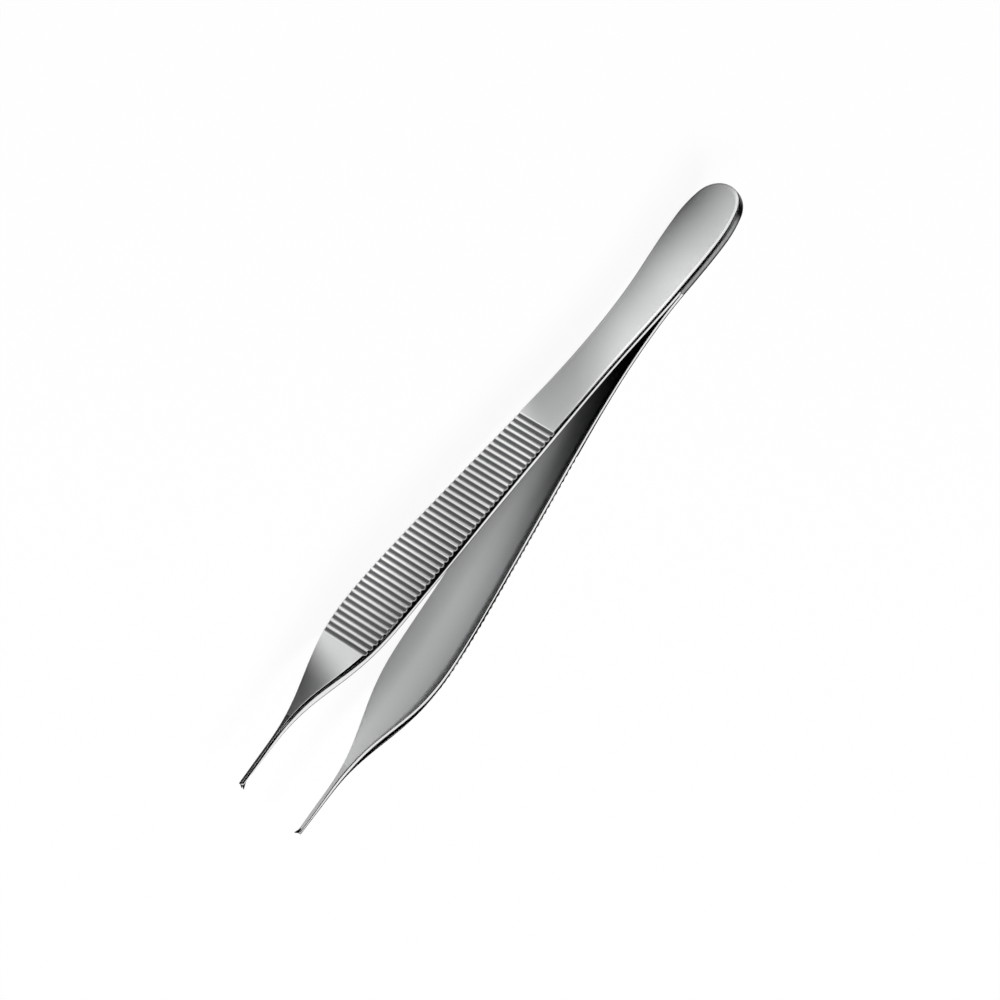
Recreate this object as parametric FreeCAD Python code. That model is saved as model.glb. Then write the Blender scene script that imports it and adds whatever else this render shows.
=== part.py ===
import FreeCAD, Part
import os
from FreeCAD import Vector

# Toothed tissue forceps with broad thumb plates, lying on its side.
# X runs from the head to the tips, Y from one arm to the other, Z up.
# The two arms mirror each other about Y = 0 and differ only in their teeth.

# Overall
LENGTH = 120.0            # head end to the points of the teeth
TIP_GAP = 17.5            # between the inner faces at the tips, at rest

# Outline of one leaf, seen square on to its face
HEAD_WIDTH = 10.35
HEAD_WIDEST_AT = 8.2      # from the head end
HEAD_ROUNDNESS = 0.9      # radius of the very end against half the head's width
WAIST_WIDTH = 7.65
WAIST_SHARE = 0.525       # place of the waist between the split and the first rib
PLATE_WIDTH = 11.35
TAPER_LENGTH = 14.0       # widest point of the plate to the middle of the slope
SLOPE_WIDTH = 7.6         # at the middle of the slope that brings the plate down
SLOPE_LENGTH = 13.0       # middle of the slope to where it has run out into the nose
NOSE_WIDTH = 0.8
NOSE_LENGTH = 10.0        # end of the slope to the points of the teeth
TIP_WIDTH = 0.7

# Side of one leaf
HEAD_THICKNESS = 0.92
SPRING_THICKNESS = 0.9    # the thin part that bends
PLATE_THICKNESS = 1.42    # under the ribs
SLOPE_THICKNESS = 1.68
NOSE_THICKNESS = 1.05
TIP_THICKNESS = 0.5
SPLIT_AT = 18.5           # from the head end, where the two leaves part

# Bevel along the outer edges, which grows from the spring to the plate
HEAD_BEVEL = 0.2          # as deep as it is wide
PLATE_BEVEL_WIDTH = 0.28
PLATE_BEVEL_DEPTH = 0.82
SLOPE_BEVEL_WIDTH = 0.5
SLOPE_BEVEL_DEPTH = 1.0
TIP_BEVEL = 0.12          # as deep as it is wide

# Ribs across the outside of each plate
GROOVE_COUNT = 41
GROOVE_PITCH = 1.12
GROOVE_WIDTH = 0.84
GROOVE_DEPTH = 0.28
RIBS_BEFORE_WIDEST = 35.2  # first rib to the widest point of the plate

# Teeth: two on one arm, one on the other that goes between them
TOOTH_HEIGHT = 0.7
TOOTH_LENGTH = 0.9        # along the nose, at the root
TOOTH_LEAN = 0.3          # how far the point reaches past the end of the nose
TOOTH_POINT = 0.08        # width left at the point
TOOTH_CLEARANCE = 0.03    # each side of the single tooth, when the tips are closed

# Weld round the rim of the head
WELD_WIDTH = 0.7
WELD_DEPTH = 0.45

# Distances from the head end that follow from these sizes
NOSE_END = LENGTH - TOOTH_LEAN
NOSE_AT = LENGTH - NOSE_LENGTH
SLOPE_AT = NOSE_AT - SLOPE_LENGTH
PLATE_WIDEST_AT = SLOPE_AT - TAPER_LENGTH
PLATE_START_AT = PLATE_WIDEST_AT - RIBS_BEFORE_WIDEST
WAIST_AT = SPLIT_AT + WAIST_SHARE * (PLATE_START_AT - SPLIT_AT)
HEAD_END_RADIUS = HEAD_ROUNDNESS * HEAD_WIDTH / 2
OVERLAP = 0.2             # how far tools reach past the faces that they cut


def at(station, y, z):
    """Point at a distance from the head end, with Z measured from the arm's middle."""
    return Vector(station - LENGTH / 2, y, z + PLATE_WIDTH / 2)


def blend(low, high, share):
    """Value that goes from low to high as share goes from 0 to 1."""
    return low + (high - low) * share


def smooth(stations, start_slope, end_slope):
    """Curve through (distance, value) pairs, whose own parameter is the distance."""
    curve = Part.BSplineCurve()
    curve.interpolate(
        Points=[Vector(x, value, 0) for x, value in stations],
        Parameters=[x for x, _ in stations],
        InitialTangent=Vector(1, start_slope, 0),
        FinalTangent=Vector(1, end_slope, 0),
        Scale=False,
    )
    return curve


def half_width():
    """Half the leaf's width, from the widest point of the head to the tip."""
    slope_start = blend(PLATE_WIDEST_AT, SLOPE_AT, 0.43)
    slope_middle = blend(PLATE_WIDEST_AT, SLOPE_AT, 0.72)
    widths = [
        (HEAD_WIDEST_AT, HEAD_WIDTH),
        (blend(HEAD_WIDEST_AT, WAIST_AT, 0.45), blend(WAIST_WIDTH, HEAD_WIDTH, 0.48)),
        (WAIST_AT, WAIST_WIDTH),
        (blend(WAIST_AT, PLATE_WIDEST_AT, 0.34), blend(WAIST_WIDTH, PLATE_WIDTH, 0.24)),
        (blend(WAIST_AT, PLATE_WIDEST_AT, 0.67), blend(WAIST_WIDTH, PLATE_WIDTH, 0.65)),
        (PLATE_WIDEST_AT, PLATE_WIDTH),
        (slope_start, blend(SLOPE_WIDTH, PLATE_WIDTH, 0.925)),
        (slope_middle, blend(SLOPE_WIDTH, PLATE_WIDTH, 0.6)),
        (SLOPE_AT, SLOPE_WIDTH),
        (blend(SLOPE_AT, NOSE_AT, 0.62), blend(NOSE_WIDTH, SLOPE_WIDTH, 0.2)),
        (NOSE_AT, NOSE_WIDTH),
        (blend(NOSE_AT, NOSE_END, 0.5), blend(NOSE_WIDTH, TIP_WIDTH, 0.6)),
        (NOSE_END, TIP_WIDTH),
    ]
    return smooth([(x, width / 2) for x, width in widths], 0, 0)


def half_gap():
    """Distance of the inner face from the middle, from the split to the tip."""
    shares = [
        (SPLIT_AT, 0.0),
        (blend(SPLIT_AT, WAIST_AT, 0.55), 0.055),
        (WAIST_AT, 0.14),
        (PLATE_START_AT, 0.325),
        (blend(PLATE_START_AT, PLATE_WIDEST_AT, 0.35), 0.515),
        (blend(PLATE_START_AT, PLATE_WIDEST_AT, 0.7), 0.705),
        (PLATE_WIDEST_AT, 0.845),
        (blend(PLATE_WIDEST_AT, SLOPE_AT, 0.7), 0.912),
        (blend(SLOPE_AT, NOSE_AT, 0.5), 0.94),
        (NOSE_AT, 0.97),
        (NOSE_END, 1.0),
    ]
    return smooth([(x, share * TIP_GAP / 2) for x, share in shares], 0, 0.02)


def thickness():
    """Thickness of the leaf along its length."""
    plate = blend(PLATE_START_AT, PLATE_WIDEST_AT, 0.35)
    values = [
        (HEAD_WIDEST_AT, HEAD_THICKNESS),
        (blend(HEAD_WIDEST_AT, SPLIT_AT, 0.6), HEAD_THICKNESS),
        (SPLIT_AT, HEAD_THICKNESS),
        (blend(SPLIT_AT, WAIST_AT, 0.6), SPRING_THICKNESS),
        (WAIST_AT, SPRING_THICKNESS),
        (PLATE_START_AT, blend(SPRING_THICKNESS, PLATE_THICKNESS, 0.6)),
        (plate, PLATE_THICKNESS),
        (PLATE_WIDEST_AT, PLATE_THICKNESS),
        (SLOPE_AT, SLOPE_THICKNESS),
        (blend(SLOPE_AT, NOSE_AT, 0.55), blend(NOSE_THICKNESS, SLOPE_THICKNESS, 0.89)),
        (NOSE_AT, NOSE_THICKNESS),
        (NOSE_END, TIP_THICKNESS),
    ]
    return smooth(values, 0, -0.03)


def bevel(head, plate, slope, tip):
    """Width or depth of the bevel along the length, from its values at four places."""
    full = blend(WAIST_AT, PLATE_WIDEST_AT, 0.67)
    values = [
        (HEAD_WIDEST_AT, head),
        (SPLIT_AT, head),
        (WAIST_AT, head),
        (blend(WAIST_AT, full, 0.5), blend(head, plate, 0.45)),
        (full, plate),
        (PLATE_WIDEST_AT, plate),
        (SLOPE_AT, slope),
        (NOSE_AT, blend(tip, slope, 0.15)),
        (NOSE_END, tip),
    ]
    return smooth(values, 0, 0)


def section(station, half, inner, outer, bevel_width, bevel_depth):
    """Closed section of a leaf: flat inside, straight sides and beveled outer edges."""
    side = outer - bevel_depth
    top = half - bevel_width
    corners = [
        (inner, -half),
        (side, -half),
        (outer, -top),
        (outer, top),
        (side, half),
        (inner, half),
        (inner, -half),
    ]
    return Part.makePolygon([at(station, y, z) for y, z in corners])


def blade_stations():
    """Distances from the head end of the sections that shape the blade."""
    stations = [blend(HEAD_WIDEST_AT, SPLIT_AT, share) for share in (0, 0.1, 0.4, 0.7, 1)]
    stations += [blend(SPLIT_AT, WAIST_AT, share / 4) for share in range(1, 5)]
    stations += [blend(WAIST_AT, PLATE_WIDEST_AT, share / 6) for share in range(1, 7)]
    stations += [blend(PLATE_WIDEST_AT, SLOPE_AT, share / 4) for share in range(1, 5)]
    stations += [blend(SLOPE_AT, NOSE_AT, share / 4) for share in range(1, 5)]
    stations += [blend(NOSE_AT, NOSE_END, share / 3) for share in range(1, 4)]
    return stations


def blade():
    """The leaf from the widest point of its head to the end of the nose."""
    width, gap, depth = half_width(), half_gap(), thickness()
    across = bevel(HEAD_BEVEL, PLATE_BEVEL_WIDTH, SLOPE_BEVEL_WIDTH, TIP_BEVEL)
    down = bevel(HEAD_BEVEL, PLATE_BEVEL_DEPTH, SLOPE_BEVEL_DEPTH, TIP_BEVEL)
    sections = []
    for x in blade_stations():
        inner = gap.value(x).y if x > SPLIT_AT else -OVERLAP * (SPLIT_AT - x) / SPLIT_AT
        outer = max(inner, 0) + depth.value(x).y
        sizes = [curve.value(x).y for curve in (across, down)]
        sections.append(section(x, width.value(x).y, inner, outer, *sizes))
    return Part.makeLoft(sections, True, False)


def head_outline(inset):
    """Half of the round end's outline as arcs that run into each other, drawn in by the inset."""
    reach = HEAD_WIDEST_AT ** 2 - 2 * HEAD_WIDEST_AT * HEAD_END_RADIUS + HEAD_WIDTH ** 2 / 4
    side_radius = reach / (HEAD_WIDTH - 2 * HEAD_END_RADIUS)
    centre = Vector(HEAD_WIDEST_AT, HEAD_WIDTH / 2 - side_radius, 0)
    straight = Vector(0, 1, 0)
    turn = (Vector(HEAD_END_RADIUS, 0, 0) - centre).normalize()
    half_turn = (turn + straight).normalize()
    return [centre + way * (side_radius - inset) for way in (straight, half_turn, turn)]


def head_face(inset, y):
    """Flat face of the round end at a given Y, from the widest point to the end."""
    wide, side, meet = head_outline(inset)

    def corner(point, hand):
        return at(point.x, y, hand * point.y)

    return Part.Face(Part.Wire([
        Part.makeLine(corner(wide, -1), corner(wide, 1)),
        Part.Arc(corner(wide, 1), corner(side, 1), corner(meet, 1)).toShape(),
        Part.Arc(corner(meet, 1), at(inset, y, 0), corner(meet, -1)).toShape(),
        Part.Arc(corner(meet, -1), corner(side, -1), corner(wide, -1)).toShape(),
    ]))


def head_end():
    """The round end of the leaf, with the same bevel as its sides."""
    blank = head_face(0, -OVERLAP).extrude(Vector(0, HEAD_THICKNESS + OVERLAP, 0))
    rim = []
    for edge in blank.Edges:
        middle = edge.valueAt((edge.FirstParameter + edge.LastParameter) / 2)
        on_top = middle.y > HEAD_THICKNESS - 0.001
        if on_top and middle.x < at(HEAD_WIDEST_AT, 0, 0).x - 0.001:
            rim.append(edge)
    return blank.makeChamfer(HEAD_BEVEL, rim)


def plain_leaf():
    """One leaf without grooves, teeth or weld, with its inner face flat over the head."""
    leaf = blade().fuse(head_end())
    behind = Part.makeBox(LENGTH, OVERLAP * 2, PLATE_WIDTH * 2)
    behind.translate(at(-OVERLAP, -OVERLAP * 2, -PLATE_WIDTH))
    return leaf.cut(behind).Solids[0]


def grooves():
    """Round-bottomed cutters across the plate, evenly spaced along its outer face."""
    gap, depth = half_gap(), thickness()
    radius = (GROOVE_WIDTH ** 2 / 4 + GROOVE_DEPTH ** 2) / (2 * GROOVE_DEPTH)
    cutters = []
    station = PLATE_START_AT
    for number in range(GROOVE_COUNT):
        slope = gap.tangent(station)[0].y + depth.tangent(station)[0].y
        along = Vector(1, slope, 0).normalize()
        middle = station + along.x * GROOVE_PITCH / 2
        surface = at(middle, gap.value(middle).y + depth.value(middle).y, -PLATE_WIDTH)
        centre = surface + Vector(-along.y, along.x, 0) * (radius - GROOVE_DEPTH)
        cutters.append(Part.makeCylinder(radius, PLATE_WIDTH * 2, centre, Vector(0, 0, 1)))
        station = station + along.x * GROOVE_PITCH
    return cutters


def tooth(offset, width):
    """Tooth at the end of the nose that leans forward and narrows to its point."""
    inner = half_gap().value(NOSE_END).y
    root = inner + TIP_THICKNESS / 2
    point = inner - TOOTH_HEIGHT
    back = NOSE_END - TOOTH_LENGTH
    loops = []
    for y, start, end, across in (
        (root, back, NOSE_END, width),
        (point, LENGTH - TOOTH_POINT, LENGTH, TOOTH_POINT),
    ):
        low, high = offset - across / 2, offset + across / 2
        corners = [at(start, y, low), at(end, y, low), at(end, y, high), at(start, y, high)]
        loops.append(Part.makePolygon(corners + corners[:1]))
    return Part.makeLoft(loops, True, True)


def weld_room():
    """Space of the weld: a band round the rim of the head, with a round end at the split."""
    half = WELD_WIDTH / 2
    low, high = -PLATE_WIDTH, PLATE_WIDTH
    start, end = -OVERLAP, SPLIT_AT - half
    band = Part.Face(Part.Wire([
        Part.makeLine(at(start, -half, low), at(end, -half, low)),
        Part.Arc(at(end, -half, low), at(SPLIT_AT, 0, low), at(end, half, low)).toShape(),
        Part.makeLine(at(end, half, low), at(start, half, low)),
        Part.makeLine(at(start, half, low), at(start, -half, low)),
    ])).extrude(Vector(0, 0, high - low))
    width = half_width()
    stations = [blend(HEAD_WIDEST_AT, SPLIT_AT, share / 4) for share in range(5)]
    below = -half - OVERLAP
    sides = []
    for hand in (1, -1):
        points = [at(x, below, hand * (width.value(x).y - WELD_DEPTH)) for x in stations]
        side = Part.BSplineCurve()
        side.interpolate(points)
        sides.append(side.toShape())
    ends = [side.valueAt(side.LastParameter) for side in sides]
    starts = [side.valueAt(side.FirstParameter) for side in sides]
    middle = Part.Face(Part.Wire([
        sides[0],
        Part.makeLine(ends[0], ends[1]),
        sides[1],
        Part.makeLine(starts[1], starts[0]),
    ]))
    through = Vector(0, -2 * below, 0)
    core = middle.extrude(through).fuse(head_face(WELD_DEPTH, below).extrude(through))
    return band.cut(core)


def main():
    os.makedirs("parts", exist_ok=True)
    leaf = plain_leaf()
    room = weld_room()
    half_weld = leaf.common(room)
    ribbed = leaf.cut(room).cut(grooves())
    share = TIP_WIDTH / 3
    single = ribbed.fuse(tooth(0, share - 2 * TOOTH_CLEARANCE))
    double = ribbed.fuse([tooth(-share, share), tooth(share, share)])
    across = Vector(0, 1, 0)
    middle = Vector(0, 0, 0)
    nodes = {
        "arm_one_tooth": single,
        "arm_two_teeth": double.mirror(middle, across),
        "head_weld": half_weld.fuse(half_weld.mirror(middle, across)).removeSplitter(),
    }
    drop = Vector(0, 0, -single.optimalBoundingBox(False, False).ZMin)
    for name, shape in nodes.items():
        solid = shape.Solids[0]
        solid.translate(drop)
        solid.exportStep("parts/" + name + ".step")
        print(name, "solids", len(shape.Solids), "valid", solid.isValid(), "faces", len(solid.Faces))
        print("  volume", round(solid.Volume, 2), "box", solid.optimalBoundingBox(False, False))


main()
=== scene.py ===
# %% [markdown]
# Toothed tissue forceps, modelled and lit as a product photograph.
# The CAD model is loaded first. It fixes the place and the size of every piece, so each mesh
# is built where the real piece lies, in metres, and nothing is moved afterwards.

# %% Load the frame
import math

import bmesh
import bpy
import numpy as np
from mathutils import Matrix, Vector


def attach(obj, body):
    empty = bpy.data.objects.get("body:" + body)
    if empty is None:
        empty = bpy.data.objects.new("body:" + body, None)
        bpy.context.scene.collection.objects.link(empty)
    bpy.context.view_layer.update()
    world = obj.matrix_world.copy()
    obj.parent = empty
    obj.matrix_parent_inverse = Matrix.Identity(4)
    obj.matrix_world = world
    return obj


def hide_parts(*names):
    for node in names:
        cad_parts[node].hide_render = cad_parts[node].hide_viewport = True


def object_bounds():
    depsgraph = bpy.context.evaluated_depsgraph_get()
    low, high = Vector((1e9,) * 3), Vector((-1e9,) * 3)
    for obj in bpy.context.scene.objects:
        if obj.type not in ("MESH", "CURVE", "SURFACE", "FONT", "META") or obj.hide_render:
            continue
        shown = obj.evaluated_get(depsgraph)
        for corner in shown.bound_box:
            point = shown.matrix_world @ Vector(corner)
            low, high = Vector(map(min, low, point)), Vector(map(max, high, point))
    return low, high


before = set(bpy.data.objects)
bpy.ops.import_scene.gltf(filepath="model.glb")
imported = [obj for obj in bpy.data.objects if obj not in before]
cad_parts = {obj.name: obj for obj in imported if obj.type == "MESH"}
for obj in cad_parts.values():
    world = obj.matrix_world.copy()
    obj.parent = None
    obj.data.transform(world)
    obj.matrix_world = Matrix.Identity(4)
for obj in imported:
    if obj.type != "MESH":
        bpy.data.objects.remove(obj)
cad_low, cad_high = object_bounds()
MM = 0.001
print("CAD box in mm:", [round(size / MM, 2) for size in cad_high - cad_low])

# %% [markdown]
# The leaf is the long flat arm of the forceps. It is forged, so its width, its thickness and
# the place of its inner face all change smoothly along its length. A designer would draw
# each of these as a curve through a few known stations. The same curves are made here, with
# distances in millimetres from the end of the head, because every later step asks them for
# the shape at one station. A clamped cubic spline is the curve that a flexible ruler takes.

# %% Curves along the leaf
def smooth(stations, start_slope=0.0, end_slope=0.0):
    """Clamped cubic spline through (distance, value) pairs, as a function of the distance."""
    x, y = np.array(stations, float).T
    step = np.diff(x)
    rise = np.diff(y) / step
    size = len(x)
    system = np.zeros((size, size))
    right = np.zeros(size)
    system[0, 0] = system[-1, -1] = 1.0
    right[0], right[-1] = start_slope, end_slope
    for i in range(1, size - 1):
        system[i, i - 1:i + 2] = step[i], 2 * (step[i - 1] + step[i]), step[i - 1]
        right[i] = 3 * (step[i] * rise[i - 1] + step[i - 1] * rise[i])
    slope = np.linalg.solve(system, right)

    def value(at):
        i = min(max(int(np.searchsorted(x, at)) - 1, 0), size - 2)
        t = (at - x[i]) / step[i]
        bend = (1 - t) * slope[i] - t * slope[i + 1] - (1 - 2 * t) * rise[i]
        return y[i] + t * (y[i + 1] - y[i]) + t * (1 - t) * step[i] * bend

    return value


def blend(low, high, share):
    """Value that goes from low to high as share goes from 0 to 1."""
    return low + (high - low) * share


print("a spline from 0 to 1 has reached", smooth([(0, 0), (1, 1)])(0.25), "after a quarter")

# %% [markdown]
# These are the sizes that a maker would write on the drawing. Only the length is read from
# the frame. Stations between two named places are given as a share of the way, so that the
# whole leaf keeps its proportions when one size changes.

# %% Sizes of the leaf
LENGTH = (cad_high.x - cad_low.x) / MM
TIP_GAP = 17.5
HEAD_WIDTH, WAIST_WIDTH, PLATE_WIDTH = 10.35, 7.65, 11.35
SLOPE_WIDTH, NOSE_WIDTH, TIP_WIDTH = 7.6, 0.8, 0.7
HEAD_THICKNESS, SPRING_THICKNESS, PLATE_THICKNESS = 0.92, 0.9, 1.42
SLOPE_THICKNESS, NOSE_THICKNESS, TIP_THICKNESS = 1.68, 1.05, 0.5
HEAD_WIDEST_AT, SPLIT_AT, PLATE_START_AT = 8.2, 18.5, 47.8
WAIST_AT = blend(SPLIT_AT, PLATE_START_AT, 0.525)
PLATE_WIDEST_AT, SLOPE_AT, NOSE_AT = 83.0, 97.0, 110.0
TOOTH_LEAN = 0.3
NOSE_END = LENGTH - TOOTH_LEAN
TIP_SPREAD_RATE = 0.04
TIP_THINNING_RATE = -0.03
print("leaf", round(LENGTH, 2), "mm long and", PLATE_WIDTH, "mm wide at the plate")

# %% Width along the leaf
width = smooth([
    (HEAD_WIDEST_AT, HEAD_WIDTH),
    (blend(HEAD_WIDEST_AT, WAIST_AT, 0.45), blend(WAIST_WIDTH, HEAD_WIDTH, 0.48)),
    (WAIST_AT, WAIST_WIDTH),
    (blend(WAIST_AT, PLATE_WIDEST_AT, 0.34), blend(WAIST_WIDTH, PLATE_WIDTH, 0.24)),
    (blend(WAIST_AT, PLATE_WIDEST_AT, 0.67), blend(WAIST_WIDTH, PLATE_WIDTH, 0.65)),
    (PLATE_WIDEST_AT, PLATE_WIDTH),
    (blend(PLATE_WIDEST_AT, SLOPE_AT, 0.43), blend(SLOPE_WIDTH, PLATE_WIDTH, 0.925)),
    (blend(PLATE_WIDEST_AT, SLOPE_AT, 0.72), blend(SLOPE_WIDTH, PLATE_WIDTH, 0.6)),
    (SLOPE_AT, SLOPE_WIDTH),
    (blend(SLOPE_AT, NOSE_AT, 0.62), blend(NOSE_WIDTH, SLOPE_WIDTH, 0.2)),
    (NOSE_AT, NOSE_WIDTH),
    (blend(NOSE_AT, NOSE_END, 0.5), blend(NOSE_WIDTH, TIP_WIDTH, 0.6)),
    (NOSE_END, TIP_WIDTH),
])
print("widths in mm every 20 mm:", [round(float(width(x)), 2) for x in range(20, 120, 20)])

# %% Opening and thickness along the leaf
gap_share = smooth([
    (SPLIT_AT, 0.0),
    (blend(SPLIT_AT, WAIST_AT, 0.55), 0.055),
    (WAIST_AT, 0.14),
    (PLATE_START_AT, 0.325),
    (blend(PLATE_START_AT, PLATE_WIDEST_AT, 0.35), 0.515),
    (blend(PLATE_START_AT, PLATE_WIDEST_AT, 0.7), 0.705),
    (PLATE_WIDEST_AT, 0.845),
    (blend(PLATE_WIDEST_AT, SLOPE_AT, 0.7), 0.912),
    (blend(SLOPE_AT, NOSE_AT, 0.5), 0.94),
    (NOSE_AT, 0.97),
    (NOSE_END, 1.0),
], 0.0, TIP_SPREAD_RATE / TIP_GAP)
thickness = smooth([
    (HEAD_WIDEST_AT, HEAD_THICKNESS),
    (blend(HEAD_WIDEST_AT, SPLIT_AT, 0.6), HEAD_THICKNESS),
    (SPLIT_AT, HEAD_THICKNESS),
    (blend(SPLIT_AT, WAIST_AT, 0.6), SPRING_THICKNESS),
    (WAIST_AT, SPRING_THICKNESS),
    (PLATE_START_AT, blend(SPRING_THICKNESS, PLATE_THICKNESS, 0.6)),
    (blend(PLATE_START_AT, PLATE_WIDEST_AT, 0.35), PLATE_THICKNESS),
    (PLATE_WIDEST_AT, PLATE_THICKNESS),
    (SLOPE_AT, SLOPE_THICKNESS),
    (blend(SLOPE_AT, NOSE_AT, 0.55), blend(NOSE_THICKNESS, SLOPE_THICKNESS, 0.89)),
    (NOSE_AT, NOSE_THICKNESS),
    (NOSE_END, TIP_THICKNESS),
], 0.0, TIP_THINNING_RATE)


def inner_face(x):
    """Distance of the inner face from the middle plane between the arms."""
    return gap_share(x) * TIP_GAP / 2 if x > SPLIT_AT else 0.0


def outer_face(x):
    """Distance of the outer face, with no grooves in it, from the same plane."""
    return inner_face(x) + thickness(x)


print("tips", round(float(2 * inner_face(NOSE_END)), 2), "mm apart")

# %% [markdown]
# The two outer edges of the leaf are ground to a bevel. On the head it is a thin line, on the
# plate it is broad, so that it runs under the ends of the ribs, and along the slope and the
# nose it narrows again. Its width up the face and its depth down the side are two more
# curves, and both pass the same stations.

# %% Ground edges along the leaf
HEAD_BEVEL_WIDTH, HEAD_BEVEL_DEPTH = 0.12, 0.42
PLATE_BEVEL_WIDTH, PLATE_BEVEL_DEPTH = 0.28, 0.82
SLOPE_BEVEL_WIDTH, SLOPE_BEVEL_DEPTH = 0.28, 0.26
TIP_BEVEL_WIDTH, TIP_BEVEL_DEPTH = 0.09, 0.27


def bevel_curve(head, plate, slope, tip):
    """Width or depth of the ground edge along the leaf, from its values at four places."""
    full = blend(WAIST_AT, PLATE_WIDEST_AT, 0.67)
    return smooth([
        (HEAD_WIDEST_AT, head),
        (WAIST_AT, head),
        (blend(WAIST_AT, full, 0.5), blend(head, plate, 0.45)),
        (full, plate),
        (PLATE_WIDEST_AT, plate),
        (SLOPE_AT, slope),
        (NOSE_AT, blend(tip, slope, 0.15)),
        (NOSE_END, tip),
    ])


bevel_width = bevel_curve(HEAD_BEVEL_WIDTH, PLATE_BEVEL_WIDTH, SLOPE_BEVEL_WIDTH, TIP_BEVEL_WIDTH)
bevel_depth = bevel_curve(HEAD_BEVEL_DEPTH, PLATE_BEVEL_DEPTH, SLOPE_BEVEL_DEPTH, TIP_BEVEL_DEPTH)
print("bevel at the nose", round(float(bevel_width(NOSE_AT)), 2), "mm wide")

# %% [markdown]
# The ribs stop the thumb from slipping. On the real plate a round-edged cutter mills grooves
# straight across, at an even pitch along the face, and what is left between two grooves is a
# narrow rib. A displacement texture would blur them, so each groove is worked out as the
# circle that the cutter leaves. Its edge gets a small round, because that round is what
# catches the light as a bright line.

# %% Ribs
GROOVE_COUNT = 41
GROOVE_PITCH = 1.12
GROOVE_WIDTH = 0.84
GROOVE_DEPTH = 0.28
RIB_EDGE = 0.07
CUTTER_RADIUS = (GROOVE_WIDTH ** 2 / 4 + GROOVE_DEPTH ** 2) / (2 * GROOVE_DEPTH)
SLOPE_STEP = 0.01


def groove_centres():
    """Axis of the cutter for each groove, as (distance from the head end, height)."""
    centres = []
    x = PLATE_START_AT
    for groove in range(GROOVE_COUNT):
        slope = (outer_face(x + SLOPE_STEP) - outer_face(x - SLOPE_STEP)) / (2 * SLOPE_STEP)
        length = math.hypot(1, slope)
        along = (1 / length, slope / length)
        middle = x + along[0] * GROOVE_PITCH / 2
        lift = CUTTER_RADIUS - GROOVE_DEPTH
        centres.append((middle - along[1] * lift, outer_face(middle) + along[0] * lift))
        x += along[0] * GROOVE_PITCH
    return centres


CENTRES = groove_centres()


def ribbed_face(x):
    """Height of the outer face at a station, down in the grooves and rounded at the ribs."""
    face = outer_face(x)
    axis_x, axis_y = min(CENTRES, key=lambda centre: abs(centre[0] - x))
    reach = CUTTER_RADIUS ** 2 - (x - axis_x) ** 2
    if reach <= 0:
        return face
    floor = axis_y - math.sqrt(reach)
    share = min(max(0.5 + 0.5 * (floor - face) / RIB_EDGE, 0.0), 1.0)
    return blend(floor, face, share) - RIB_EDGE * share * (1 - share)


print(len(CENTRES), "grooves, from", round(CENTRES[0][0], 1), "to", round(CENTRES[-1][0], 1), "mm")

# %% [markdown]
# Cut the leaf across and the section is a flat bar with two ground outer edges. Only half of
# it is written down, from the middle of the inner face, up the side and over to the middle of
# the outer face, because the leaf is the same above and below. Sharp corners look false on
# metal: every real edge is broken a little, and that is where the light breaks too. So the
# corner next to the inner face has a narrow flat, and the one between the bevel and the outer
# face is a short curve. On the head and the spring, where buffing has worn it most, this
# curve grows to a soft lip.

# %% Corners of a section
BROKEN_EDGE = 0.09
LIP_REACH, LIP_FALL = 0.5, 0.15
PLATE_CHAMFER, SPRING_CHAMFER, CHAMFER_FALL = 0.2, 0.1, 0.05
MOST_OF_THICKNESS = 0.15
MOST_OF_SIDE = 0.45
LEAST_LENGTH = 1e-6
CORNER_POINTS = 5
CHAMFER_SHARES = (0.08, 0.5, 0.95)
CHAMFER_POINTS = len(CHAMFER_SHARES) + 2
CHAMFER_RUN_IN, CHAMFER_RUN_OUT = 1 / 3, 1 / 12


def spring_share(x):
    """1 on the head and the spring, 0 on the plate and the nose, and smooth between."""
    share = min(max((PLATE_START_AT - x) / (PLATE_START_AT - WAIST_AT), 0.0), 1.0)
    return share * share * (3 - 2 * share)


def toward(corner, other, distance):
    """Point a little way from a corner along one of its sides, before the side's middle."""
    length = max((other - corner).length, LEAST_LENGTH)
    return corner.lerp(other, min(distance / length, MOST_OF_SIDE))


def round_corner(start, corner, end):
    """Points of the short curve that leaves out a corner between two points."""
    shares = [i / (CORNER_POINTS - 1) for i in range(CORNER_POINTS)]
    return [start.lerp(corner, t).lerp(corner.lerp(end, t), t) for t in shares]


def chamfer(x, seat, half, edge):
    """Points of the narrow flat that breaks the edge between the inner face and the side."""
    reach = blend(PLATE_CHAMFER, SPRING_CHAMFER, spring_share(x)) if x > SPLIT_AT else edge
    fall, reach = min(CHAMFER_FALL, edge), min(reach, MOST_OF_THICKNESS * thickness(x))
    low, high = Vector((seat, half - fall)), Vector((seat + reach, half))
    before = low - Vector((0, fall * CHAMFER_RUN_IN))
    after = high + Vector((reach * CHAMFER_RUN_OUT, 0))
    return [before] + [low.lerp(high, share) for share in CHAMFER_SHARES] + [after]


print("lip", LIP_REACH, "mm wide on the head, plain edges broken by", BROKEN_EDGE, "mm")

# %% [markdown]
# The ground edge meets the outer face, and on the plate it meets the floor of a groove at
# some stations and the top of a rib at others. The bevel is one curve from the side to the
# top, and where it stops is found by halving, so it always ends just on the ribbed face. At
# the head the section also steps in along its rim, which leaves room for the weld.

# %% Half a section
WELD_WIDTH, WELD_DEPTH = 0.7, 0.45
BEVEL_ROUNDNESS = 0.12
BEVEL_POINTS = 8
FACE_POINTS = 4
HALVINGS = 24
FOOT_SHARE = 0.8
EDGES_IN_HALF, STEPS_IN_HALF = 6, 3


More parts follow.
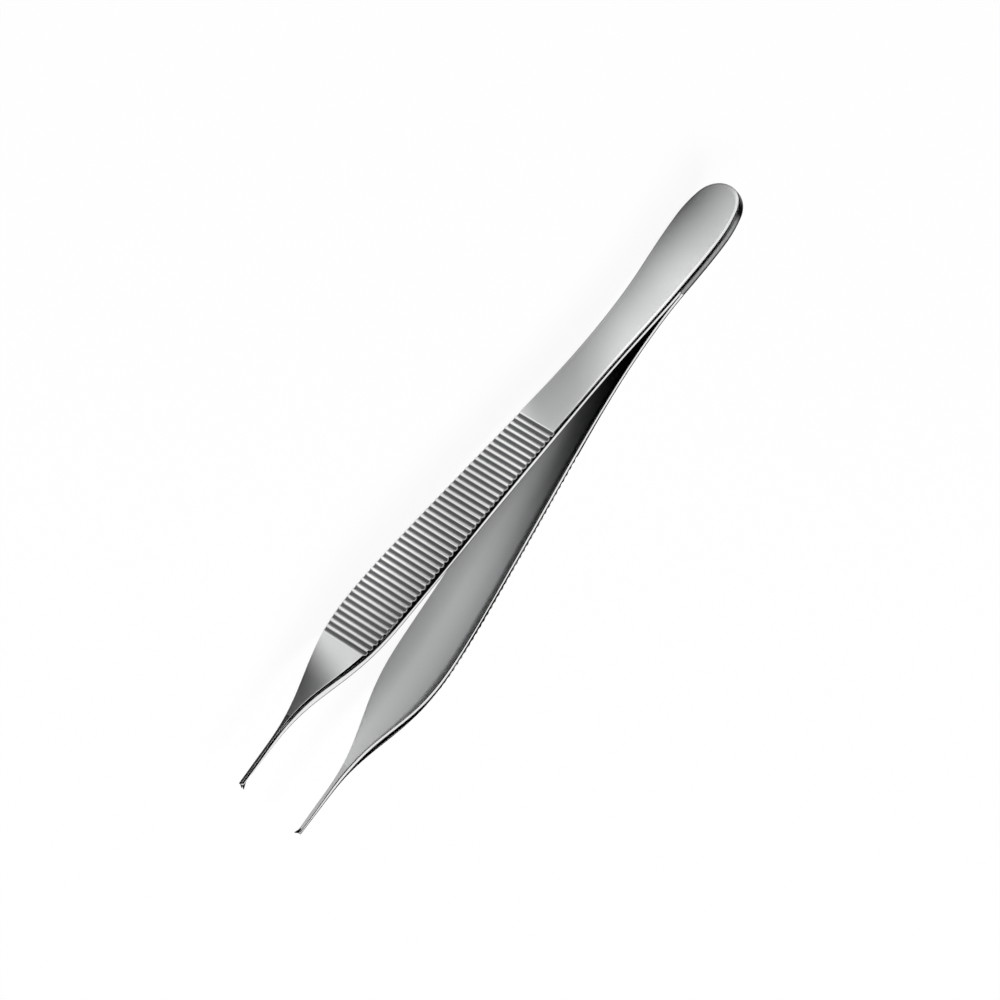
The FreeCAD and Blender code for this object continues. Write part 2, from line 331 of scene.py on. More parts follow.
def weld_half_width(x):
    """Half the width of the weld band, which ends round where the leaves part."""
    into_end = max(x - (SPLIT_AT - WELD_WIDTH / 2), 0.0)
    return math.sqrt(max((WELD_WIDTH / 2) ** 2 - into_end ** 2, 0.0))


def bevel_point(turn, x):
    """Point of the ground edge, between a flat bevel and a full round, as (Y, Z)."""
    side, top = outer_face(x) - bevel_depth(x), outer_face(x)
    half, across = width(x) / 2, bevel_width(x)
    angle = turn * math.pi / 2
    flat = Vector((blend(side, top, turn), blend(half, half - across, turn)))
    full = Vector((blend(side, top, math.sin(angle)), half - across * (1 - math.cos(angle))))
    return flat.lerp(full, BEVEL_ROUNDNESS)


def bevel_turn(x, top):
    """How far round the ground edge reaches before it meets the outer face or a groove."""
    low, high = 0.0, 1.0
    for halving in range(HALVINGS):
        middle = (low + high) / 2
        if bevel_point(middle, x).x < top:
            low = middle
        else:
            high = middle
    return low


def half_section(x):
    """Points from the middle of the inner face over the edge to the middle of the outer one."""
    half, inner, top = width(x) / 2, inner_face(x), ribbed_face(x)
    edge = min(BROKEN_EDGE, half / EDGES_IN_HALF)
    if x < SPLIT_AT:
        foot, seat = half - WELD_DEPTH, inner + weld_half_width(x)
    else:
        foot, seat = half * FOOT_SHARE, inner
    lip_reach = blend(edge, LIP_REACH, spring_share(x))
    lip_fall = blend(edge, LIP_FALL, spring_share(x))
    turn = bevel_turn(x, top)
    side, rim = bevel_point(0.0, x), bevel_point(turn, x)
    stop = turn * (1 - min(lip_fall / (rim - side).length, MOST_OF_SIDE))
    points = [Vector((inner, height)) for height in (0, half / STEPS_IN_HALF, foot)]
    points.append(Vector((seat, foot)))
    points += chamfer(x, seat, half, edge)
    points += [bevel_point(stop * i / BEVEL_POINTS, x) for i in range(BEVEL_POINTS)]
    points += round_corner(bevel_point(stop, x), rim, toward(rim, Vector((top, 0)), lip_reach))
    rim = points[-1].y
    points += [Vector((top, rim * (1 - i / FACE_POINTS))) for i in range(1, FACE_POINTS + 1)]
    return points


PLACES = len(half_section(PLATE_WIDEST_AT)) - 1
FIRST_EDGE_PLACE = 4
FIRST_BEVEL_PLACE = FIRST_EDGE_PLACE + CHAMFER_POINTS
FIRST_LIP_PLACE = FIRST_BEVEL_PLACE + BEVEL_POINTS
FIRST_FACE_PLACE = FIRST_LIP_PLACE + CORNER_POINTS - 1
print("half a section is drawn in", PLACES, "stretches")

# %% [markdown]
# Where the sections go matters as much as their shape. Along the plain parts the leaf
# changes slowly, so a section every millimetre or so is enough. Across a groove they
# crowd at its two edges, where the surface turns sharply, and spread out between.

# %% Stations along the leaf
GROOVE_STEPS = (0.0, 0.35, 0.65, 0.85, 0.95, 1.0, 1.06, 1.14)
HEAD_ROWS, WELD_END_ROWS, SPRING_ROWS, SLOPE_ROWS, NOSE_ROWS = 12, 8, 48, 56, 24
WELD_END_TURN = 1.5
LEAST_STEP = 0.004


def evenly(start, end, count):
    """Values spread evenly from start to end."""
    return {float(value) for value in np.linspace(start, end, count)}


def leaf_stations():
    """Distances from the head end at which the leaf gets a section."""
    stations = {HEAD_WIDEST_AT, SPLIT_AT, PLATE_START_AT, NOSE_END}
    stations |= evenly(HEAD_WIDEST_AT, SPLIT_AT - WELD_WIDTH, HEAD_ROWS)
    for turn in evenly(0.0, WELD_END_TURN, WELD_END_ROWS):
        stations.add(SPLIT_AT - WELD_WIDTH / 2 * (1 - math.sin(turn)))
    stations |= evenly(SPLIT_AT, CENTRES[0][0] - GROOVE_WIDTH, SPRING_ROWS)
    for axis_x, axis_y in CENTRES:
        for step in GROOVE_STEPS:
            stations |= {axis_x - step * GROOVE_WIDTH / 2, axis_x + step * GROOVE_WIDTH / 2}
        stations.add(axis_x + GROOVE_PITCH / 2)
    stations |= evenly(CENTRES[-1][0] + GROOVE_WIDTH, NOSE_AT, SLOPE_ROWS)
    stations |= evenly(NOSE_AT, NOSE_END, NOSE_ROWS)
    ordered = sorted(stations)
    return [x for x, after in zip(ordered, ordered[1:]) if after - x > LEAST_STEP] + [NOSE_END]


STATIONS = leaf_stations()
print(len(STATIONS), "sections along the leaf")

# %% [markdown]
# One leaf carries many finishes, because each tool leaves its own. The faces are blasted, the
# edges are buffed, the grooves keep the look of the cutter and the ribs between them are
# rubbed bright. The rim of the head shows the grinding wheel, the teeth the file and the
# nose the last polish by hand. Each square of the mesh is given its finish from where it lies.

# %% Finishes on the leaf
SATIN, POLISHED, RIB, GROUND, MILLED, INNER, FILED, NOSE = range(8)
NOSE_FINISH_AND_SHADE_FROM = 107.0
RIB_SHOULDER = 0.64


def finish_at(x, place_round):
    """Finish of the leaf at a station and a place round the section."""
    on_edge = FIRST_EDGE_PLACE <= place_round < FIRST_FACE_PLACE
    # past this station the nose finish, whose darker grey is painted shade, covers all but the edges
    if x > NOSE_FINISH_AND_SHADE_FROM and not on_edge:
        return NOSE
    if place_round < FIRST_EDGE_PLACE:
        return INNER
    rim_end = FIRST_LIP_PLACE if x < HEAD_WIDEST_AT else FIRST_BEVEL_PLACE
    if place_round < rim_end and x < SPLIT_AT:
        return GROUND
    if FIRST_LIP_PLACE <= place_round < FIRST_FACE_PLACE and x < PLATE_START_AT:
        return RIB
    if on_edge:
        return POLISHED
    off_groove = min(abs(x - axis_x) for axis_x, axis_y in CENTRES) / (GROOVE_WIDTH / 2)
    if CENTRES[0][0] - GROOVE_PITCH / 2 < x < CENTRES[-1][0] + GROOVE_PITCH / 2:
        return RIB if off_groove > RIB_SHOULDER else MILLED
    return SATIN


print("finish numbers go from", SATIN, "to", NOSE)

# %% [markdown]
# A flat sheet of squares is rolled round the sections to make the blade: one row of
# vertices for each station and one column for each place round the section. The sheet's two
# long edges meet along the middle of the inner face and are merged. This gives even strips
# that follow the leaf, so a highlight runs along it without breaks.

# %% Roll the blade
MIDDLE_Z = (cad_low.z + cad_high.z) / 2


def place(x, y, z):
    """Point in the frame, in metres, from millimetres along, across and up the leaf."""
    return Vector(((x - LENGTH / 2) * MM, y * MM, MIDDLE_Z + z * MM))


def roll_sheet(rows, columns, locate, finish):
    """Sheet of squares, each given its finish and then moved where locate says."""
    sheet = bmesh.new()
    bmesh.ops.create_grid(sheet, x_segments=columns, y_segments=rows, size=1.0)
    for face in sheet.faces:
        middle = face.calc_center_median()
        column = int((middle.x + 1) / 2 * columns)
        row = int((middle.y + 1) / 2 * rows)
        face.material_index = finish(row, column)
    for vertex in sheet.verts:
        column = round((vertex.co.x + 1) / 2 * columns)
        row = round((vertex.co.y + 1) / 2 * rows)
        vertex.co = locate(row, column)
    return sheet


def blade():
    """Leaf from the widest place of the head to the end of the nose, open at both ends."""
    sections = [half_section(x) for x in STATIONS]

    def locate(row, column):
        hand = 1 if column <= PLACES else -1
        point = sections[row][column if column <= PLACES else 2 * PLACES - column]
        return place(STATIONS[row], point.x, hand * point.y)

    def finish(row, column):
        place_round = column if column < PLACES else 2 * PLACES - 1 - column
        return finish_at(blend(STATIONS[row], STATIONS[row + 1], 0.5), place_round)

    return roll_sheet(len(STATIONS) - 1, 2 * PLACES, locate, finish)


print("a blade is", len(STATIONS) - 1, "rows of", 2 * PLACES, "squares")

# %% [markdown]
# The end of the head is round. The same half section is swung about a point in the middle of
# the leaf, like a fan, and stretched at each angle to reach the outline. The outline is two
# arcs that run into each other, a blunt one at the end and a longer one along each side, and
# the bevel is the same two arcs drawn in by a little.

# %% Swing the round end
HEAD_END_RADIUS = 0.9 * HEAD_WIDTH / 2
FAN_STEPS = 56
RIM_REACH = 1.5 * LIP_REACH


def head_reach(angle, inset):
    """Distance from the middle of the head to its outline, drawn in by the inset."""
    blunt = HEAD_END_RADIUS
    long = HEAD_WIDEST_AT ** 2 - 2 * HEAD_WIDEST_AT * blunt + HEAD_WIDTH ** 2 / 4
    long /= HEAD_WIDTH - 2 * blunt
    centre = Vector((HEAD_WIDEST_AT, HEAD_WIDTH / 2 - long))
    meet = centre + (Vector((blunt, 0)) - centre).normalized() * (long - inset)
    meet_angle = math.atan2(HEAD_WIDEST_AT - meet.x, meet.y)
    turn = min(angle, math.pi - angle)
    if turn < meet_angle:
        away, radius = Vector((HEAD_WIDEST_AT, 0)) - centre, long - inset
    else:
        away, radius = Vector((HEAD_WIDEST_AT - blunt, 0)), blunt - inset
    along = away.dot(Vector((-math.sin(turn), math.cos(turn))))
    return -along + math.sqrt(along ** 2 - away.length_squared + radius ** 2)


def head_fan():
    """Round end of the leaf, open along the line where it meets the blade."""
    section = half_section(HEAD_WIDEST_AT)
    half = HEAD_WIDTH / 2

    def locate(row, column):
        angle = math.pi * row / FAN_STEPS
        point = section[column]
        inset = half - point.y
        if inset < RIM_REACH:
            reach = head_reach(angle, inset)
        else:
            reach = head_reach(angle, 0.0) * point.y / half
        return place(HEAD_WIDEST_AT - reach * math.sin(angle), point.x, reach * math.cos(angle))

    return roll_sheet(FAN_STEPS, PLACES, locate, lambda row, column: finish_at(0.0, column))


print("the head reaches", round(head_reach(math.pi / 2, 0.0), 2), "mm back from its widest place")

# %% [markdown]
# The teeth hold the tissue. One arm has a single tooth in the middle and the other has two
# that close on each side of it. They are filed from the same steel as the nose, so they are
# drawn out of its inner face: the patch is extruded, and its new end is pulled in
# and forward to a point. Nothing has to be joined on afterwards.

# %% Draw out the teeth
TOOTH_HEIGHT, TOOTH_LENGTH, TOOTH_POINT = 0.7, 0.9, 0.08
OFF_FACE = 0.05
FACES_THE_GAP = -0.9


def draw_tooth(mesh, low, high):
    """Tooth from the part of the inner face between two heights, at the end of the nose."""
    back = place(NOSE_END - TOOTH_LENGTH, 0, 0).x
    reach = (inner_face(NOSE_END) + OFF_FACE) * MM
    patch = []
    for face in mesh.faces:
        middle = face.calc_center_median()
        height = (middle.z - MIDDLE_Z) / MM
        on_face = middle.x > back and middle.y < reach and face.normal.y < FACES_THE_GAP
        if on_face and low < height < high:
            patch.append(face)
    grown = bmesh.ops.extrude_face_region(mesh, geom=patch)
    bmesh.ops.delete(mesh, geom=patch, context="FACES")
    tips = [item for item in grown["geom"] if isinstance(item, bmesh.types.BMVert)]
    for face in {face for vertex in tips for face in vertex.link_faces}:
        face.material_index = FILED
    point = place(LENGTH - TOOTH_POINT / 2, inner_face(NOSE_END) - TOOTH_HEIGHT, 0)
    across = sum(vertex.co.z for vertex in tips) / len(tips)
    start = min(vertex.co.x for vertex in tips)
    span = max(vertex.co.x for vertex in tips) - start
    for vertex in tips:
        along = (vertex.co.x - start) / span - 0.5
        side = (vertex.co.z - across) / ((high - low) * MM)
        aside = Vector((along, 0, side)) * TOOTH_POINT * MM
        vertex.co = Vector((point.x, point.y, across)) + aside
    return len(patch)


print("teeth", TOOTH_HEIGHT, "mm tall on a foot", TOOTH_LENGTH, "mm long")

# %% [markdown]
# Blade and round end are joined into one closed skin. Their shared rows of vertices lie on
# each other, so they are merged, the few squares that have no area go, and the open end of
# the nose is filled. Only then do the teeth grow, because they need faces that know which
# way is out. The near arm is the same leaf turned over to the other side of the middle plane.
# A mirror turns the skin inside out, so its normals are worked out again.

# %% Make the two arms
MERGE_WITHIN, NO_LENGTH = 0.0005, 0.0002
THIRD = TIP_WIDTH / 6


def leaf(teeth):
    """One arm as a mesh on the far side of the middle plane."""
    mesh = blade()
    fan = head_fan()
    scratch = bpy.data.meshes.new("scratch")
    fan.to_mesh(scratch)
    fan.free()
    mesh.from_mesh(scratch)
    bpy.data.meshes.remove(scratch)
    bmesh.ops.remove_doubles(mesh, verts=mesh.verts, dist=MERGE_WITHIN * MM)
    bmesh.ops.dissolve_degenerate(mesh, edges=mesh.edges, dist=NO_LENGTH * MM)
    rim = [edge for edge in mesh.edges if edge.is_boundary]
    bmesh.ops.contextual_create(mesh, geom=rim)
    bmesh.ops.recalc_face_normals(mesh, faces=mesh.faces)
    for low, high in teeth:
        print("tooth drawn out of", draw_tooth(mesh, low, high), "squares")
    return mesh


def finish_arm(name, mesh, hand):
    """Object for an arm, mirrored to its own side of the middle plane."""
    for vertex in mesh.verts:
        vertex.co.y *= hand
    bmesh.ops.recalc_face_normals(mesh, faces=mesh.faces)
    for face in mesh.faces:
        face.smooth = True
    open_edges = sum(1 for edge in mesh.edges if not edge.is_manifold)
    data = bpy.data.meshes.new(name)
    mesh.to_mesh(data)
    mesh.free()
    arm = bpy.data.objects.new(name, data)
    bpy.context.collection.objects.link(arm)
    print(name, len(data.polygons), "faces,", open_edges, "edges left open")
    return arm


far_arm = finish_arm("far_leaf", leaf([(-THIRD, THIRD)]), 1)
near_arm = finish_arm("near_leaf", leaf([(-3 * THIRD, -THIRD), (THIRD, 3 * THIRD)]), -1)
for arm, node_name in ((far_arm, "arm_one_tooth"), (near_arm, "arm_two_teeth")):
    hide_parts(node_name)
    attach(arm, "root")

# %% [markdown]
# The photograph looks down on the forceps from the near side, with a long lens, and the
# camera is rolled so that they run from the upper right to the lower left. A camera looks
# along its own -Z. So its three axes are built from the viewing direction and the roll, and
# the lens from how many pixels a millimetre takes at the forceps.

# %% Camera
TARGET = Vector((0.0, 0.0, MIDDLE_Z))
AZIMUTH, ELEVATION, ROLL = (math.radians(angle) for angle in (8.727, 39.49, 121.045))
DISTANCE = 900 * MM
PIXELS_PER_MM = 6.517
IMAGE_WIDTH = 1000
SENSOR_WIDTH = 36.0
SHIFT_RIGHT, SHIFT_UP = -0.00212, -0.00328
CLIP_NEAR, CLIP_FAR = 0.01, 50.0


def direction(azimuth, elevation):
    """Unit vector toward a place, for an azimuth from the front and a height angle."""
    level = math.cos(elevation)
    return Vector((level * math.sin(azimuth), -level * math.cos(azimuth), math.sin(elevation)))


camera = bpy.data.objects.new("camera", bpy.data.cameras.new("camera"))
bpy.context.collection.objects.link(camera)
back = direction(AZIMUTH, ELEVATION)
level_right = (-back).cross(Vector((0, 0, 1))).normalized()
level_up = level_right.cross(-back)
right = level_right * math.cos(ROLL) + level_up * math.sin(ROLL)
up = level_up * math.cos(ROLL) - level_right * math.sin(ROLL)
camera.matrix_world = Matrix((right, up, back)).transposed().to_4x4()
camera.matrix_world.translation = TARGET + back * DISTANCE
camera.data.sensor_width = SENSOR_WIDTH
camera.data.lens = SENSOR_WIDTH * PIXELS_PER_MM * (DISTANCE / MM) / IMAGE_WIDTH
camera.data.shift_x, camera.data.shift_y = SHIFT_RIGHT, SHIFT_UP
camera.data.clip_start, camera.data.clip_end = CLIP_NEAR, CLIP_FAR
bpy.context.scene.camera = camera
print("lens of", round(camera.data.lens), "mm at", round(DISTANCE / MM), "mm")

# %% [markdown]
# The steel is a hardened stainless steel. Its colour hardly changes from finish to finish:
# what the eye tells apart is how the surface was made. Each finish below is one material. It
# starts from a plain grey, and noise of a real size in millimetres changes its roughness
# and its bumps. Metals have no diffuse colour, so all their light is reflected light.

# %% Colours and nodes
def linear(code):
    """Colour written as six hex digits, as the linear values that a shader wants."""
    parts = [int(code[i:i + 2], 16) / 255 for i in (1, 3, 5)]
    return [p / 12.92 if p <= 0.04045 else ((p + 0.055) / 1.055) ** 2.4 for p in parts] + [1.0]


def set_inputs(tree, node, inputs):
    """Inputs of a node, each a value or the socket that feeds it."""
    for name, value in inputs.items():
        if isinstance(value, bpy.types.NodeSocket):
            tree.links.new(value, node.inputs[name])
        else:
            node.inputs[name].default_value = value


def add_node(tree, kind, inputs, **settings):
    """Node with its settings, and its inputs set or linked."""
    node = tree.nodes.new(kind)
    for name, value in settings.items():
        setattr(node, name, value)
    set_inputs(tree, node, inputs)
    return node


def new_material(name):
    """Material with its node tree and its shader."""
    material = bpy.data.materials.new(name)
    material.use_nodes = True
    return material, material.node_tree, material.node_tree.nodes["Principled BSDF"]


def per_mm(size):
    """Scale of a noise whose grain is this many millimetres across."""
    return 1 / (size * MM)


NOISE_SPAN = {"From Min": 0.3, "From Max": 0.7}
print("middle grey is", round(linear("#808080")[0], 3), "in linear light")

# %% [markdown]
# Satin steel: the faces are blasted with fine glass beads, which leaves dimples of a few
# hundredths of a millimetre. They scatter the light, so the face shows soft shades and no
# sharp reflection. The dimples are drawn three times coarser than they are, because at their
# real size the render would lose them. A slow change of roughness over several millimetres
# keeps the face from looking moulded.

# %% Satin steel
DIMPLE, HANDLED_PATCH = 0.16, 7.0


def satin_steel():
    """Blasted faces: soft shades over fine dimples."""
    material, tree, shader = new_material("bead blasted stainless steel")
    where = add_node(tree, "ShaderNodeTexCoord", {}).outputs["Object"]
    beads = add_node(tree, "ShaderNodeTexNoise", {
        "Vector": where, "Scale": per_mm(DIMPLE), "Detail": 2.0})
    handled = add_node(tree, "ShaderNodeTexNoise", {
        "Vector": where, "Scale": per_mm(HANDLED_PATCH), "Detail": 4.0})
    rough = add_node(tree, "ShaderNodeMapRange", {
        **NOISE_SPAN, "Value": handled.outputs["Fac"], "To Min": 0.31, "To Max": 0.37})
    shade = add_node(tree, "ShaderNodeMix", {
        "Factor": beads.outputs["Fac"], "A": linear("#d6d7d8"), "B": linear("#e2e3e3")},
        data_type="RGBA")
    bump = add_node(tree, "ShaderNodeBump", {
        "Height": beads.outputs["Fac"], "Strength": 0.35, "Distance": 0.02 * MM})
    set_inputs(tree, shader, {
        "Base Color": shade.outputs["Result"], "Roughness": rough.outputs["Result"],
        "Normal": bump.outputs["Normal"], "Metallic": 1.0})
    return material


satin = satin_steel()
print(satin.name, "has", len(satin.node_tree.nodes), "nodes")

# %% [markdown]
# Polished steel: the edges are ground on a belt along the leaf and buffed. They mirror the room,
# white where the window is and black where the room is dark, with faint lines that run the way the
# belt ran. The ribs are rubbed bright, and the slender nose is finished by hand, which leaves it
# rougher; its darker grey, which also covers the inner faces of the nose, is painted shade.

# %% Polished steel
BELT_LINE = 0.14
LINE_STRETCH = 0.03


def polished_steel(name, low, high, dark, pale):
    """Buffed steel between two roughnesses and two greys, with lines along the leaf."""
    material, tree, shader = new_material(name)
    where = add_node(tree, "ShaderNodeTexCoord", {}).outputs["Object"]
    along = add_node(tree, "ShaderNodeMapping", {
        "Vector": where, "Scale": (LINE_STRETCH, 1.0, 1.0)})
    belt = add_node(tree, "ShaderNodeTexNoise", {
        "Vector": along.outputs["Vector"], "Scale": per_mm(BELT_LINE), "Detail": 3.0})
    rough = add_node(tree, "ShaderNodeMapRange", {
        **NOISE_SPAN, "Value": belt.outputs["Fac"], "To Min": low, "To Max": high})
    bump = add_node(tree, "ShaderNodeBump", {
        "Height": belt.outputs["Fac"], "Strength": 0.05, "Distance": 0.01 * MM})
    shade = add_node(tree, "ShaderNodeMix", {
        "Factor": belt.outputs["Fac"], "A": linear(dark), "B": linear(pale)}, data_type="RGBA")
    set_inputs(tree, shader, {
        "Base Color": shade.outputs["Result"], "Roughness": rough.outputs["Result"],
        "Normal": bump.outputs["Normal"], "Metallic": 1.0})
    return material


buffed = polished_steel("belt polished stainless steel", 0.06, 0.14, "#e2e3e3", "#eeeeee")
rubbed = polished_steel("buffed rib steel", 0.1, 0.2, "#e6e6e6", "#f4f4f4")
# the nose's darker grey is painted shade
hand_polished_painted_shade = polished_steel("hand polished nose steel with painted shade", 0.22, 0.3, "#aeafb0", "#babbbb")
print("polished:", [finish.name for finish in (buffed, rubbed, hand_polished_painted_shade)])

# %% [markdown]
# Ground steel: after welding, the rim of the head is ground flush on a coarser wheel, across
# the leaves. It is duller than the buffed edges, and the weld shows as a slightly paler band.
# The very end is painted dark: a dark grey stands in for the dark reflection there. It is mixed in
# by the distance along the leaf and fades within a few millimetres. The teeth are filed, and a file
# leaves the same kind of marks; their very dark grey is painted shade.

# %% Ground steel
WHEEL_LINE, MOTTLE = 0.12, 1.2
WHEEL_STRETCH = 0.08
PAINTED_END_DARK = "#1d1d1e"
END_DARK_TO, END_DARK_GONE_AT = 3.2, 4.6


def ground_steel(name, dark, pale):
    """Wheel ground steel between two greys, with lines across and painted dark reflection at the
    end.
    """
    material, tree, shader = new_material(name)
    where = add_node(tree, "ShaderNodeTexCoord", {}).outputs["Object"]
    across = add_node(tree, "ShaderNodeMapping", {
        "Vector": where, "Scale": (1.0, WHEEL_STRETCH, 1.0)})
    wheel = add_node(tree, "ShaderNodeTexNoise", {
        "Vector": across.outputs["Vector"], "Scale": per_mm(WHEEL_LINE), "Detail": 3.0})
    mottle = add_node(tree, "ShaderNodeTexNoise", {
        "Vector": where, "Scale": per_mm(MOTTLE), "Detail": 3.0})
    rough = add_node(tree, "ShaderNodeMapRange", {
        **NOISE_SPAN, "Value": wheel.outputs["Fac"], "To Min": 0.28, "To Max": 0.4})
    colour = add_node(tree, "ShaderNodeMix", {
        "Factor": mottle.outputs["Fac"], "A": linear(dark), "B": linear(pale)}, data_type="RGBA")
    axes = add_node(tree, "ShaderNodeSeparateXYZ", {"Vector": where})
    # the dark colour at the very end is painted reflection, faded out over a few millimetres
    end_dark_fade = add_node(tree, "ShaderNodeMapRange", {
        "Value": axes.outputs["X"],
        "From Min": place(END_DARK_TO, 0, 0).x, "From Max": place(END_DARK_GONE_AT, 0, 0).x})
    shade = add_node(tree, "ShaderNodeMix", {
        "Factor": end_dark_fade.outputs["Result"], "A": linear(PAINTED_END_DARK), "B": colour.outputs["Result"]},
        data_type="RGBA")
    bump = add_node(tree, "ShaderNodeBump", {
        "Height": wheel.outputs["Fac"], "Strength": 0.3, "Distance": 0.02 * MM})
    set_inputs(tree, shader, {
        "Base Color": shade.outputs["Result"], "Roughness": rough.outputs["Result"],
        "Normal": bump.outputs["Normal"], "Metallic": 1.0})
    return material


rim_steel = ground_steel("wheel ground rim steel", "#6f7071", "#8a8b8c")
# the teeth's very dark grey is painted shade
filed_steel_painted_shade = ground_steel("file finished tooth steel with painted shade", "#343536", "#4c4d4e")
weld_steel = ground_steel("ground weld steel", "#9b9c9c", "#b9baba")
print("ground:", [finish.name for finish in (rim_steel, filed_steel_painted_shade, weld_steel)])

# %% [markdown]
# Milled steel: the floor of each groove keeps what the cutter left, fine lines that run across the
# leaf. Its dark grey is painted shade, for the shade that falls in the grooves, and that makes the
# ribs stand out.

# %% Milled steel
CUTTER_LINE = 0.1
CUTTER_STRETCH = 0.05


def milled_steel_painted_shade():
    """Groove floors: a cutter's fine lines across the leaf, in a dark grey that is painted shade."""
    material, tree, shader = new_material("milled stainless steel with painted groove shade")
    where = add_node(tree, "ShaderNodeTexCoord", {}).outputs["Object"]
    across = add_node(tree, "ShaderNodeMapping", {
        "Vector": where, "Scale": (1.0, 1.0, CUTTER_STRETCH)})
    cutter = add_node(tree, "ShaderNodeTexNoise", {
        "Vector": across.outputs["Vector"], "Scale": per_mm(CUTTER_LINE), "Detail": 2.0})
    rough = add_node(tree, "ShaderNodeMapRange", {
        **NOISE_SPAN, "Value": cutter.outputs["Fac"], "To Min": 0.14, "To Max": 0.24})
    # the dark grey of the groove floors is painted shade
    shade = add_node(tree, "ShaderNodeMix", {
        "Factor": cutter.outputs["Fac"], "A": linear("#505152"), "B": linear("#676869")},
        data_type="RGBA")
    bump = add_node(tree, "ShaderNodeBump", {
        "Height": cutter.outputs["Fac"], "Strength": 0.2, "Distance": 0.01 * MM})
    set_inputs(tree, shader, {
        "Base Color": shade.outputs["Result"], "Roughness": rough.outputs["Result"],
        "Normal": bump.outputs["Normal"], "Metallic": 1.0})
    return material


milled = milled_steel_painted_shade()
print(milled.name, "has", len(milled.node_tree.nodes), "nodes")

# %% [markdown]
# Inner steel: the inner face is dark in the narrow gap next to the head and gets paler toward the
# plate. This darkness is painted shade: the shade of the narrow gap and the dark reflection of the
# other leaf, put into the colour. One smooth ramp along the leaf mixes the two greys, and a second
# one darkens the face a little toward its upper edge, which is painted shade too.

# %% Inner steel
GAP_DARK_TO, GAP_PALE_FROM = 26.0, 80.0
SHADED_FROM = -1.0
GAP_SHADE_GREY, UPPER_SHADE = "#505152", "#c9c9c9"
INNER_ROUGHNESS = 0.3


def inner_steel():
    """Inner faces: blasted, with painted shade in the narrow gap and toward the upper edge."""
    material, tree, shader = new_material("blasted inner steel with painted gap shade")
    where = add_node(tree, "ShaderNodeTexCoord", {}).outputs["Object"]
    beads = add_node(tree, "ShaderNodeTexNoise", {
        "Vector": where, "Scale": per_mm(DIMPLE), "Detail": 2.0})
    axes = add_node(tree, "ShaderNodeSeparateXYZ", {"Vector": where})
    # painted shade: darker in the narrow gap next to the head, paler toward the plate
    reached = add_node(tree, "ShaderNodeMapRange", {
        "Value": axes.outputs["X"],
        "From Min": place(GAP_DARK_TO, 0, 0).x, "From Max": place(GAP_PALE_FROM, 0, 0).x},
        interpolation_type="SMOOTHSTEP")
    pale = add_node(tree, "ShaderNodeMix", {
        "Factor": beads.outputs["Fac"], "A": linear("#c2c3c4"), "B": linear("#cdcece")},
        data_type="RGBA")
    along = add_node(tree, "ShaderNodeMix", {
        "Factor": reached.outputs["Result"], "A": linear(GAP_SHADE_GREY), "B": pale.outputs["Result"]},
        data_type="RGBA")
    raised = add_node(tree, "ShaderNodeMapRange", {
        "Value": axes.outputs["Z"],
        "From Min": place(0, 0, SHADED_FROM).z, "From Max": place(0, 0, PLATE_WIDTH / 2).z})
    # painted shade toward the upper edge
    shade = add_node(tree, "ShaderNodeMix", {
        "Factor": raised.outputs["Result"], "A": along.outputs["Result"],
        "B": linear(UPPER_SHADE)}, data_type="RGBA", blend_type="MULTIPLY")
    bump = add_node(tree, "ShaderNodeBump", {
        "Height": beads.outputs["Fac"], "Strength": 0.35, "Distance": 0.02 * MM})
    set_inputs(tree, shader, {
        "Base Color": shade.outputs["Result"], "Roughness": INNER_ROUGHNESS,
        "Normal": bump.outputs["Normal"], "Metallic": 1.0})
    return material


inner = inner_steel()
print(inner.name, "has", len(inner.node_tree.nodes), "nodes")

# %% [markdown]
# The finishes go on in the order of their numbers, because each square of the mesh keeps the
# number and not the name. A weighted normal modifier keeps the large flat faces flat next to
# their small rounded edges. The weld is the CAD model's own piece and only gets its steel.

# %% Dress the pieces
FINISHES = {
    SATIN: satin, POLISHED: buffed, RIB: rubbed, GROUND: rim_steel,
    MILLED: milled, INNER: inner, FILED: filed_steel_painted_shade, NOSE: hand_polished_painted_shade,
}
for arm in (far_arm, near_arm):
    for number in sorted(FINISHES):
        arm.data.materials.append(FINISHES[number])
    arm.modifiers.new("flat faces stay flat", "WEIGHTED_NORMAL")
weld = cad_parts["head_weld"]
for slot in weld.material_slots:
    slot.material = weld_steel
print(len(FINISHES), "finishes on each arm,", len(weld.material_slots), "on the weld")

# %% [markdown]
# The floor is white paper that the photograph shows with hardly any shadow. More light would
# burn out the steel, so the paper glows instead, for rays that come straight from the camera:
# there a strength of 1 is white. A small share is left to the lamps, and it holds the shadow.
# In the steel, the paper glows with a fifth of its strength, because the mirrored floor is
# darker in the photograph.

# %% Floor
FLOOR_SIZE = 8.0
SHADOW_SHARE = 0.07
MIRRORED_WHITE = 0.2
MATT = 0.9

bpy.ops.mesh.primitive_plane_add(size=FLOOR_SIZE)
floor = bpy.context.object
floor.name = "floor"
paper, tree, shader = new_material("white studio paper")
set_inputs(tree, shader, {
    "Base Color": linear("#f4f4f4"), "Roughness": MATT, "Specular IOR Level": 0.0})
glow = add_node(tree, "ShaderNodeEmission", {})
rays = add_node(tree, "ShaderNodeLightPath", {})
direct = add_node(tree, "ShaderNodeMath", {
    0: rays.outputs["Is Camera Ray"], 1: 1 - SHADOW_SHARE}, operation="MULTIPLY")
mirrored = add_node(tree, "ShaderNodeMath", {
    0: rays.outputs["Is Glossy Ray"], 1: rays.outputs["Is Transmission Ray"]}, operation="MAXIMUM")
share = add_node(tree, "ShaderNodeMath", {
    0: mirrored.outputs[0], 1: MIRRORED_WHITE, 2: direct.outputs[0]}, operation="MULTIPLY_ADD")
mixed = add_node(tree, "ShaderNodeMixShader", {
    0: share.outputs[0], 1: shader.outputs[0], 2: glow.outputs[0]})
